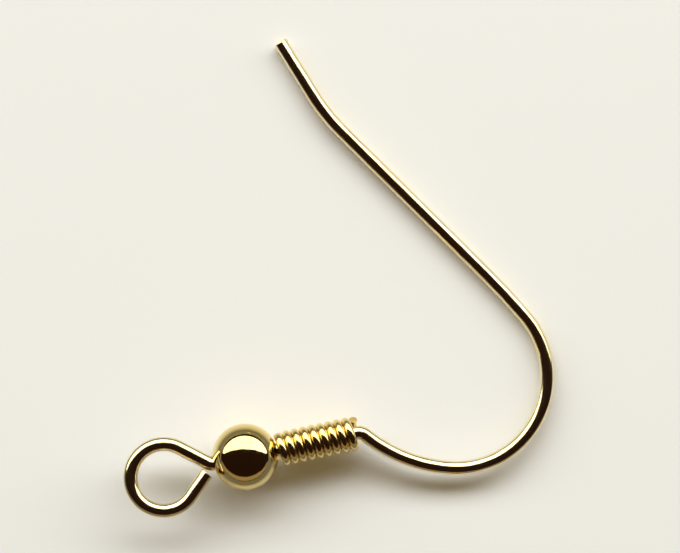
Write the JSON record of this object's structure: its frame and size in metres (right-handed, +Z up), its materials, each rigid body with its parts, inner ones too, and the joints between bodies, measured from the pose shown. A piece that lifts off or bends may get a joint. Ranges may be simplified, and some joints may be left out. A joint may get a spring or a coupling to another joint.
{
  "type": "ear wire",
  "caption": "Ear wire for pierced ears: a fish-hook of round wire with a drop loop, and a drilled bead and a wound coil on its shank.",
  "frame": {"origin": "middle of the bounding box on the surface that the ear wire lies on", "axes": "+X along the shank from the drop loop to the hook, +Y towards the open leg's tip, +Z up from the surface"},
  "size_m": [0.02, 0.021, 0.003],
  "materials": {
    "gold_plated_wire": "bright gold plating over drawn wire",
    "gold_plated_bead": "bright gold plating over a polished bead",
    "gold_plated_coil": "bright gold plating over thin wound wire"
  },
  "bodies": {
    "root": {"ear_hook": "gold_plated_wire", "ball": "gold_plated_bead", "coil": "gold_plated_coil"}
  },
  "joints": []
}
